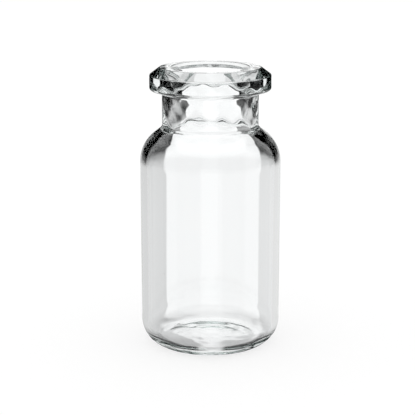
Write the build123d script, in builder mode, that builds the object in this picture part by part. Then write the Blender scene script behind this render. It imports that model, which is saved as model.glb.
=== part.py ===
from build123d import *
from math import cos, radians, tan
import os

# A headspace sample vial with a crimp finish: one piece of clear tubing glass, open at the mouth.
# Millimetres. The origin is on the vial's axis, on the plane that the base stands on, and +Z is up.

# Overall sizes
height = 46.0
body_diameter = 23.0
body_wall = 1.0

# Mouth and crimp flange
bore_diameter = 12.6
bevel_run = 1.65  # width of the sealing bevel around the flat top land
bevel_depth = 1.25  # how far the bevel falls below the land
flange_overhang = 2.0  # how far the flange stands out past the neck
flange_depth = 3.9  # land down to the flange's lower corner
flange_underside_slope = 12.0  # degrees, rising towards the neck
mouth_round = 0.7
land_round = 0.4
bevel_round = 0.3
flange_round = 0.55

# Neck
neck_wall = 1.55
neck_length = 5.8  # flange's lower corner down to where the neck meets the shoulder
neck_top_round = 0.8
neck_foot_round = 1.1
bore_foot_round = 0.7

# Shoulder
shoulder_slope = 38.0  # degrees below the horizontal
shoulder_wall = 1.35
shoulder_round = 5.9

# Base
heel_rise = 1.77  # the heel's cone, before its two ends are rounded
heel_run = 2.42
heel_round = 4.2
heel_foot_round = 1.9
heel_inside_round = 2.2
seat_width = 1.7  # flat ring that the vial stands on, with its outer rounding
base_push_up = 0.45  # how far the middle of the base is pushed up from the seat
base_wall = 0.8  # glass at the middle of the base

# Radii and levels that follow from the sizes above
body_radius = body_diameter / 2
inside_radius = body_radius - body_wall
bore_radius = bore_diameter / 2
neck_radius = bore_radius + neck_wall
flange_radius = neck_radius + flange_overhang
land_radius = flange_radius - bevel_run
heel_radius = body_radius - heel_run
seat_radius = heel_radius - seat_width

bevel_level = height - bevel_depth
flange_level = height - flange_depth
underside_level = flange_level + flange_overhang * tan(radians(flange_underside_slope))
shoulder_level = flange_level - neck_length
floor_level = base_push_up + base_wall

fall = tan(radians(shoulder_slope))
wall_top_level = shoulder_level - (body_radius - neck_radius) * fall
shoulder_drop = shoulder_wall / cos(radians(shoulder_slope))
bore_foot_level = shoulder_level - shoulder_drop + neck_wall * fall
inside_top_level = bore_foot_level - (inside_radius - bore_radius) * fall

# Corners of the section as (radius, level, rounding): up the inside, over the mouth, down the outside
corners = [
    (inside_radius, floor_level, heel_inside_round),
    (inside_radius, inside_top_level, shoulder_round - body_wall),
    (bore_radius, bore_foot_level, bore_foot_round),
    (bore_radius, height, mouth_round),
    (land_radius, height, land_round),
    (flange_radius, bevel_level, bevel_round),
    (flange_radius, flange_level, flange_round),
    (neck_radius, underside_level, neck_top_round),
    (neck_radius, shoulder_level, neck_foot_round),
    (body_radius, wall_top_level, shoulder_round),
    (body_radius, heel_rise, heel_round),
    (heel_radius, 0, heel_foot_round),
]
outline = [
    Vector(0, floor_level),
    *[Vector(radius, level) for radius, level, rounding in corners],
    Vector(seat_radius, 0),
]


def fitted_roundings(points, roundings, spare=0.98):
    """The roundings, with two neighbours made smaller where they would meet on the run between them."""
    runs = [end - start for start, end in zip(points, points[1:])]
    half_turns = [radians(before.get_angle(after)) / 2 for before, after in zip(runs, runs[1:])]
    reaches = [rounding * tan(half) for rounding, half in zip(roundings, half_turns)]
    wanted = [before + after for before, after in zip([0, *reaches], [*reaches, 0])]
    shares = [min(1, spare * run.length / want) for run, want in zip(runs, wanted)]
    return [rounding * min(pair) for rounding, *pair in zip(roundings, shares, shares[1:])]


with BuildPart() as vial:
    with BuildSketch(Plane.XZ):
        with BuildLine():
            FilletPolyline(
                *outline,
                radius=fitted_roundings(outline, [rounding for radius, level, rounding in corners]),
            )
            TangentArc((0, base_push_up), (seat_radius, 0), tangent=(1, 0))
            Line((0, base_push_up), (0, floor_level))
        make_face()
    revolve(axis=Axis.Z)

vial.part.label = "vial"

os.makedirs("parts", exist_ok=True)
export_step(vial.part, "parts/vial.step")
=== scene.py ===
import bpy
from math import cos, pi, radians, sin, tan
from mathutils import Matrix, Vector


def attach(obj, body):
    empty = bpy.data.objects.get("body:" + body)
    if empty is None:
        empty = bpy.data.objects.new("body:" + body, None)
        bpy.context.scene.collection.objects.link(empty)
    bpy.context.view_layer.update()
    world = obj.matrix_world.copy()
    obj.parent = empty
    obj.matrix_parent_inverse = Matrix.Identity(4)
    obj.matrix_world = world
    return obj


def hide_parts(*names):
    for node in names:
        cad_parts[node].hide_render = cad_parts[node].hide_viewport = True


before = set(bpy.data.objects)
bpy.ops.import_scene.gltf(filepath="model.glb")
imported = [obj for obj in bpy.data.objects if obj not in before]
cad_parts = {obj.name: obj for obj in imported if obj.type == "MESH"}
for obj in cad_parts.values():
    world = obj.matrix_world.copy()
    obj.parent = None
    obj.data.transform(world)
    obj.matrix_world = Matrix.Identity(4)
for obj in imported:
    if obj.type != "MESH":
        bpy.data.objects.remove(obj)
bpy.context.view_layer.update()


# Camera: a long lens about 20 cm from the vial and a little above it, looking down at the middle of the body.
# It is shifted a hair to the side, so that the vial stands just right of the middle.
camera_distance = 0.206671
camera_elevation = radians(13.616)
aim = Vector((0, 0, 0.022645))

camera_data = bpy.data.cameras.new("camera")
camera_data.lens = 108.336
camera_data.sensor_width = 36
camera_data.shift_x = -0.00687
camera_data.clip_start = 0.005
camera = bpy.data.objects.new("camera", camera_data)
camera.location = aim + camera_distance * Vector((0, -cos(camera_elevation), sin(camera_elevation)))
camera.rotation_euler = (pi / 2 - camera_elevation, 0, 0)
bpy.context.scene.collection.objects.link(camera)
bpy.context.scene.camera = camera
bpy.context.scene.view_settings.view_transform = "Standard"

# Light crosses many walls of glass, and turns back inside them, before it leaves the vial.
cycles = bpy.context.scene.cycles
cycles.max_bounces = 40
cycles.transmission_bounces = 40
cycles.glossy_bounces = 24


# Vial: a headspace vial with a crimp finish, one piece of clear tubing glass, open at the mouth. The tube is
# closed and pushed up a little at the base, drawn in at the shoulder and neck, and rolled and pressed at the
# mouth into a thick flange with a bevelled rim, which a cap is crimped around.
mm = 0.001
height = 46.0 * mm
body_radius = 11.5 * mm
body_wall = 1.0 * mm

bore_radius = 6.3 * mm
bevel_run = 1.65 * mm
bevel_depth = 1.25 * mm
flange_overhang = 2.0 * mm
flange_depth = 3.9 * mm
flange_underside_slope = radians(12)
mouth_round = 0.7 * mm
land_round = 0.4 * mm
bevel_round = 0.3 * mm
flange_round = 0.55 * mm

neck_wall = 1.55 * mm
neck_length = 5.8 * mm
neck_top_round = 0.8 * mm
neck_foot_round = 1.1 * mm
bore_foot_round = 0.7 * mm

shoulder_slope = radians(38)
shoulder_wall = 1.35 * mm
shoulder_round = 5.9 * mm

heel_rise = 1.77 * mm
heel_run = 2.42 * mm
heel_round = 4.2 * mm
heel_foot_round = 1.9 * mm
heel_inside_round = 2.2 * mm
seat_width = 1.7 * mm
base_push_up = 0.45 * mm
base_wall = 0.8 * mm

inside_radius = body_radius - body_wall
neck_radius = bore_radius + neck_wall
flange_radius = neck_radius + flange_overhang
land_radius = flange_radius - bevel_run
heel_radius = body_radius - heel_run
seat_radius = heel_radius - seat_width

bevel_level = height - bevel_depth
flange_level = height - flange_depth
underside_level = flange_level + flange_overhang * tan(flange_underside_slope)
shoulder_level = flange_level - neck_length
floor_level = base_push_up + base_wall

fall = tan(shoulder_slope)
wall_top_level = shoulder_level - (body_radius - neck_radius) * fall
shoulder_drop = shoulder_wall / cos(shoulder_slope)
bore_foot_level = shoulder_level - shoulder_drop + neck_wall * fall
inside_top_level = bore_foot_level - (inside_radius - bore_radius) * fall

# Corners of the section as (radius, level, rounding): up the inside, over the mouth, down the outside.
section_corners = [
    (inside_radius, floor_level, heel_inside_round),
    (inside_radius, inside_top_level, shoulder_round - body_wall),
    (bore_radius, bore_foot_level, bore_foot_round),
    (bore_radius, height, mouth_round),
    (land_radius, height, land_round),
    (flange_radius, bevel_level, bevel_round),
    (flange_radius, flange_level, flange_round),
    (neck_radius, underside_level, neck_top_round),
    (neck_radius, shoulder_level, neck_foot_round),
    (body_radius, wall_top_level, shoulder_round),
    (body_radius, heel_rise, heel_round),
    (heel_radius, 0, heel_foot_round),
]


def rounded_section(start, corners, end, arc_steps=12, longest_run=0.5 * mm):
    """Points along the section from start to end: straight runs, with an arc at each corner."""
    points = [Vector(start)]
    stations = [Vector(start), *[Vector(corner[:2]) for corner in corners], Vector(end)]

    def run_to(point):
        last = points[-1]
        runs = max(1, round((point - last).length / longest_run))
        points.extend(last.lerp(point, k / runs) for k in range(1, runs + 1))

    for before, (radius, level, rounding), after in zip(stations, corners, stations[2:]):
        corner = Vector((radius, level))
        back = (before - corner).normalized()
        on = (after - corner).normalized()
        half_angle = back.angle(on) / 2
        run_to(corner + back * rounding / tan(half_angle))
        centre = corner + (back + on).normalized() * rounding / sin(half_angle)
        first = points[-1] - centre
        last = corner + on * rounding / tan(half_angle) - centre
        bend = first.angle(last)
        for k in range(1, arc_steps + 1):
            part = k / arc_steps
            points.append(centre + (first * sin(bend * (1 - part)) + last * sin(bend * part)) / sin(bend))
    run_to(Vector(end))
    return points


# What the hand and the tools leave uneven, in millimetres. Waves round the vial are listed as
# (share of the height, waves to a turn, lean in radians for each millimetre, start).
draw_line_height = 0.002
draw_lines = [(0.6, 23, 0.05, 0), (0.4, 41, -0.08, 1)]
bore_wave_height = 0.09
neck_wave_height = 0.015
neck_waves = [(0.5, 5, 0.9, 0.4), (0.35, 9, -1.3, 2), (0.2, 14, 2.1, 0)]
flange_wave_height = 0.02
flange_waves = [(1, 4, 0, 1), (0.6, 7, 1.7, 0)]
heel_wave_height = 0.02
heel_waves = [(1, 5, 0, 2), (0.6, 12, 2, 0)]
base_lump_height = 0.03
base_lumps = [(1, 2, 0, 0.7), (0.7, 5, 1, 0), (0.5, 11, -1.7, 0)]
swirl_height = 0.022
swirl_pitch = 1.95
swirl_off_centre = 0.12


def eased(value, start, full):
    """0 at start and 1 at full, eased between. start may be above full."""
    t = min(1, max(0, (value - start) / (full - start)))
    return t * t * (3 - 2 * t)


def band(value, start, full, fade, end):
    """1 from full to fade, eased to 0 at start and at end."""
    return eased(value, start, full) * eased(value, end, fade)


def ripple(waves, turn, along):
    """The waves added up, at a turn round the vial and a distance along it or across it."""
    return sum(part * sin(count * turn + lean * along + start) for part, count, lean, start in waves)


def stray(radius, level, turn, inside):
    """How far worked glass strays from its section, outward and upward. All but turn is in millimetres."""
    outward = draw_line_height * band(level, 3, 6, 31, 35) * ripple(draw_lines, turn, level)
    neck = band(level, 33.2, 35.2, 43, 45.5)
    neck_ripple = ripple(neck_waves, turn, level)
    if inside:
        outward += bore_wave_height * neck * neck_ripple
        from_eye = radius - swirl_off_centre * sin(turn + 1)
        swirl = band(radius, 0, 0.6, 3.5, 6.5) * sin(2 * pi * from_eye / swirl_pitch)
        lumps = band(radius, 1, 5, 9, 10.4) * ripple(base_lumps, turn, radius)
        upward = eased(level, 4, 1.5) * (swirl_height * swirl + base_lump_height * lumps)
        return outward, upward
    heel = band(level, 0.05, 0.8, 2, 4.5)
    outward += heel_wave_height * heel * ripple(heel_waves, turn, level)
    flange_ripple = ripple(flange_waves, turn, level)
    outward += (
        flange_wave_height * eased(level, 41, 42.5) * flange_ripple + neck_wave_height * neck * neck_ripple
    )
    return outward, 0.0


def new_object(name, points, faces):
    """An object in the scene, with a mesh of its own."""
    mesh = bpy.data.meshes.new(name)
    mesh.from_pydata(points, [], faces)
    made = bpy.data.objects.new(name, mesh)
    bpy.context.scene.collection.objects.link(made)
    return made


def turned_glass(name, section, segments=280):
    """A closed body turned round the axis. The section starts at the axis and goes up the inside."""
    rings = section[1:-1]
    rim = max(range(len(rings)), key=lambda k: rings[k].y)
    points = [(0, 0, section[0].y)]
    for index, ring in enumerate(rings):
        for k in range(segments):
            turn = 2 * pi * k / segments
            outward, upward = stray(ring.x / mm, ring.y / mm, turn, index <= rim)
            radius = ring.x + outward * mm
            points.append((radius * cos(turn), radius * sin(turn), ring.y + upward * mm))
    points.append((0, 0, section[-1].y))
    faces = []
    last_ring = 1 + (len(rings) - 1) * segments
    for k in range(segments):
        n = (k + 1) % segments
        faces.append((0, 1 + k, 1 + n))
        for index in range(len(rings) - 1):
            this, above = 1 + index * segments, 1 + (index + 1) * segments
            faces.append((this + k, above + k, above + n, this + n))
        faces.append((last_ring + n, last_ring + k, len(points) - 1))
    glass_body = new_object(name, points, faces)
    glass_body.data.shade_smooth()
    return glass_body


section = rounded_section((0, floor_level), section_corners, (seat_radius, 0))
dome_steps = 24
dome_radius = (seat_radius**2 + base_push_up**2) / (2 * base_push_up)
for k in range(1, dome_steps + 1):
    radius = seat_radius * (1 - k / dome_steps)
    section.append(Vector((radius, base_push_up - dome_radius + (dome_radius**2 - radius**2) ** 0.5)))
vial = turned_glass("vial_glass", section)


def feed(socket, value):
    """Link another node's output to the socket, or set the socket to a plain value."""
    if isinstance(value, bpy.types.NodeSocket):
        socket.id_data.links.new(value, socket)
    else:
        socket.default_value = value


def add_node(tree, kind, inputs, **settings):
    """A new node, with its settings made and its inputs fed, each by its name or its number."""
    node = tree.nodes.new(kind)
    for name, value in settings.items():
        setattr(node, name, value)
    for key, value in inputs.items():
        feed(node.inputs[key], value)
    return node


glass = bpy.data.materials.new("clear_glass")
glass.use_nodes = True
tree = glass.node_tree
shader = tree.nodes["Principled BSDF"]
shader.inputs["IOR"].default_value = 1.5
shader.inputs["Transmission Weight"].default_value = 1
# Clean, smooth glass, for any use that passes over the nodes fed to these two below.
shader.inputs["Base Color"].default_value = (1, 1, 1, 1)
shader.inputs["Roughness"].default_value = 0.0
place = add_node(tree, "ShaderNodeTexCoord", {}).outputs["Object"]

# Fine lines along the tube, a millimetre apart across it and twenty times as long, from when it was drawn.
fine_line_scale = (900, 900, 45)
fine_line_depth = 0.004 * mm
stretched = add_node(tree, "ShaderNodeMapping", {"Vector": place, "Scale": fine_line_scale})
fine_lines = add_node(
    tree, "ShaderNodeTexNoise", {"Vector": stretched.outputs[0], "Scale": 1, "Detail": 2})
bump = add_node(
    tree, "ShaderNodeBump",
    {"Height": fine_lines.outputs["Fac"], "Strength": 0.25, "Distance": fine_line_depth})
feed(shader.inputs["Normal"], bump.outputs[0])

# A trace of haze from handling, in patches of about 4 mm, with a very faint blue cast.
haze_scale = 260
haze_roughness = 0.03
haze_colour = (0.985, 0.993, 0.997, 1)
handling = add_node(
    tree, "ShaderNodeTexNoise", {"Vector": place, "Scale": haze_scale, "Detail": 4}).outputs["Fac"]
haze = add_node(
    tree, "ShaderNodeMapRange",
    {"Value": handling, "From Min": 0.5, "From Max": 0.8, "To Max": haze_roughness})
feed(shader.inputs["Roughness"], haze.outputs[0])
cast = add_node(tree, "ShaderNodeMix", {0: handling, 6: (1, 1, 1, 1), 7: haze_colour}, data_type="RGBA")
feed(shader.inputs["Base Color"], cast.outputs[2])

# The weak green of the glass itself, which shows where light runs far inside it.
glass_green = (0.5, 0.85, 0.77, 1)
green_for_each_metre = 6
green = add_node(
    tree, "ShaderNodeVolumeAbsorption", {"Color": glass_green, "Density": green_for_each_metre})
feed(tree.nodes["Material Output"].inputs["Volume"], green.outputs[0])
vial.data.materials.append(glass)

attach(vial, "root")
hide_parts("vial")


# Floor: a plain pale table, so large that its edges are never seen. It lies a hair below the seat of the
# vial, and is painted near white. The glass doesn't show it, and shows the foot of the light tent instead.
floor_reach = 3.0
floor = new_object(
    "floor",
    [(x * floor_reach, y * floor_reach, 0) for x, y in ((-1, -1), (1, -1), (1, 1), (-1, 1))],
    [(0, 1, 2, 3)])
floor.location.z = -0.02 * mm
floor.visible_transmission = False
floor.visible_glossy = False
floor_paint = bpy.data.materials.new("floor")
floor_paint.use_nodes = True
paint = floor_paint.node_tree.nodes["Principled BSDF"]
paint.inputs["Base Color"].default_value = (0.25, 0.25, 0.25, 1)
paint.inputs["Roughness"].default_value = 1
paint.inputs["Specular IOR Level"].default_value = 0
paint.inputs["Emission Color"].default_value = (1, 1, 1, 1)
paint.inputs["Emission Strength"].default_value = 0.77
floor.data.materials.append(floor_paint)


# Light tent: a round wall of cloth lit from outside, which only the glass shows. A bright panel hangs at each
# quarter turn. Between the panels the cloth is grey up to the height of the shoulder and black above, which
# draws the vial's edges, and it is light again at the very top.
tent_radius = 50 * mm
tent_foot = -60 * mm
tent_top = 130 * mm
sides = 96


def circle(radius, level):
    """Points at the corners of a circle round the vial's axis."""
    turns = [2 * pi * k / sides for k in range(sides)]
    return [(radius * cos(turn), radius * sin(turn), level) for turn in turns]


tent = new_object(
    "light_tent",
    circle(tent_radius, tent_foot) + circle(tent_radius, tent_top),
    [(k, (k + 1) % sides, sides + (k + 1) % sides, sides + k) for k in range(sides)])
tent.visible_camera = False
tent.visible_diffuse = False
tent.visible_shadow = False


class Reading:
    """A number worked out by nodes from place to place. Readings are added and multiplied as numbers are."""

    def __init__(self, socket):
        self.socket = socket

    def __add__(self, other):
        return worked_out("ADD", self, other)

    def __sub__(self, other):
        return worked_out("SUBTRACT", self, other)

    def __mul__(self, other):
        return worked_out("MULTIPLY", self, other)

    def __truediv__(self, other):
        return worked_out("DIVIDE", self, other)

    __radd__ = __add__
    __rmul__ = __mul__


def read_by(tree, kind, inputs, **settings):
    """The reading that a new node gives from other readings and plain numbers."""
    sockets = {key: value.socket if isinstance(value, Reading) else value for key, value in inputs.items()}
    return Reading(add_node(tree, kind, sockets, **settings).outputs[0])


def worked_out(operation, first, second=0.0):
    """A reading worked out by one maths node. At least one of the two is a reading."""
    tree = (first if isinstance(first, Reading) else second).socket.id_data
    return read_by(tree, "ShaderNodeMath", {0: first, 1: second}, operation=operation)


def grown(reading, start, full):
    """0 at start and 1 at full, eased between. start may be above full."""
    span = {"Value": reading, "From Min": min(start, full), "From Max": max(start, full)}
    ends = {"To Min": 0, "To Max": 1} if start < full else {"To Min": 1, "To Max": 0}
    return read_by(
        reading.socket.id_data, "ShaderNodeMapRange", span | ends, interpolation_type="SMOOTHSTEP")


def between(share, low, high):
    """low where share is 0 and high where it is 1. share is a reading."""
    return read_by(share.socket.id_data, "ShaderNodeMix", {0: share, 2: low, 3: high})


def brighter(first, second):
    """The larger of the two."""
    return worked_out("MAXIMUM", first, second)


def graded(reading, stops):
    """Straight runs between stops, which are (reading, result) pairs in rising order."""
    low, high = stops[0][0], stops[-1][0]
    share = (reading - low) / (high - low)
    node = add_node(share.socket.id_data, "ShaderNodeValToRGB", {0: share.socket})
    elements = node.color_ramp.elements
    while len(elements) < len(stops):
        elements.new(0.5)
    for element, (at, result) in zip(elements, stops):
        element.position = (at - low) / (high - low)
        element.color = (result, result, result, 1)
    return Reading(node.outputs[0])


def place_readings(tree, output="Object"):
    """Readings of x, y and z."""
    place = add_node(tree, "ShaderNodeTexCoord", {}).outputs[output]
    split = add_node(tree, "ShaderNodeSeparateXYZ", {0: place})
    return [Reading(socket) for socket in split.outputs]


tent_cloth = bpy.data.materials.new("light_tent")
tent_cloth.use_nodes = True
tree = tent_cloth.node_tree
tree.nodes.clear()
x, y, z = place_readings(tree)
degree = radians(1)
level = z / mm
# Degrees round the tent from straight behind the vial: to the right above 0, to the left below it.
around = worked_out("ARCTAN2", x, y) / degree
either_way = worked_out("ABSOLUTE", around)
rear = grown(either_way, 50, 40)
front_half = grown(either_way, 70, 105)
right = grown(around, -8, 8)

# The panels, as degrees from the middle of each. They narrow at the top and near the table, where their
# edges also soften. The rear one is the brightest, and the others stop at the shoulder.
off_middle = worked_out("PINGPONG", around, 45)
half_width = 15.2 + 2.4 * grown(around, -5, 5)
half_width -= 5 * grown(level, 36, 46)
half_width -= 9 * grown(level, -15, -32)
edge = 0.8 + 6 * grown(level, -12, -28)
panel = grown((off_middle - half_width) / edge, 1, -1)
rear_panel_light = 1.0 + 0.12 * grown(level, 24, 32)
other_panel_light = 0.9 * grown(level, 38, 32)
panel_light = between(rear, other_panel_light, rear_panel_light)
panel_light *= between(grown(level, -12, -24), 1.0, 0.85)

# The cloth between the panels, a little darker to the left and in front, and the top of the tent.
wall_light = graded(level, [
    (-60, 0.45), (-22, 0.52), (-10, 0.74), (10, 0.76), (20, 0.74),
    (26, 0.68), (30, 0.55), (32, 0.2), (33.5, 0.0)])
left_share = between(grown(level, 22, 30), 0.9, 0.68)
right_share = 1.03
wall_light *= between(right, left_share, right_share)
wall_light *= between(front_half, 1.0, 0.8)
top_light = 0.85 * grown(level, 88, 105)

light = brighter(brighter(wall_light, top_light), panel * panel_light)
lit_cloth = add_node(tree, "ShaderNodeEmission", {"Strength": light.socket})
add_node(tree, "ShaderNodeOutputMaterial", {"Surface": lit_cloth.outputs[0]})
tent.data.materials.append(tent_cloth)


# Contact shade: the dark line where the heel meets the table, in an arc to the left and to the right of the
# vial's front. It is a thin disc under the base, black in those arcs and clear elsewhere, which only the
# glass shows.
shade_radius = 12 * mm
shade = new_object("contact_shade", circle(shade_radius, 0), [tuple(range(sides))])
shade.location.z = -0.01 * mm
shade.visible_camera = False
shade.visible_diffuse = False
shade.visible_shadow = False

shade_card = bpy.data.materials.new("contact_shade")
shade_card.use_nodes = True
tree = shade_card.node_tree
tree.nodes.clear()
x, y, z = place_readings(tree)
from_axis = worked_out("SQRT", x * x + y * y) / mm
from_front = worked_out("ABSOLUTE", worked_out("ARCTAN2", x, -1 * y) / degree)
under_heel = grown(from_axis, 8.2, 8.8) * grown(from_axis, 11.9, 11.2)
two_arcs = grown(from_front, 9, 17) * grown(from_front, 100, 75)
clear = add_node(tree, "ShaderNodeBsdfTransparent", {})
black = add_node(tree, "ShaderNodeBsdfDiffuse", {"Color": (0.01, 0.01, 0.012, 1)})
clear_or_black = add_node(
    tree, "ShaderNodeMixShader",
    {0: (under_heel * two_arcs).socket, 1: clear.outputs[0], 2: black.outputs[0]})
add_node(tree, "ShaderNodeOutputMaterial", {"Surface": clear_or_black.outputs[0]})
shade.data.materials.append(shade_card)


# Room: plain white to the eye and on the table. The glass shows a softer grey above and below the tent,
# a little lighter towards the ceiling.
room = bpy.data.worlds.new("studio")
bpy.context.scene.world = room
room.use_nodes = True
tree = room.node_tree
background = tree.nodes["Background"]
x, y, z = place_readings(tree, "Generated")
elevation = worked_out("ARCSINE", z) / degree
room_grey = between(grown(elevation, -20, 20), 0.65, 0.85)
ray = add_node(tree, "ShaderNodeLightPath", {}).outputs
by_glass = brighter(Reading(ray["Is Glossy Ray"]), Reading(ray["Is Transmission Ray"]))
feed(background.inputs["Color"], between(by_glass, 1.0, room_grey).socket)
background.inputs["Strength"].default_value = 1
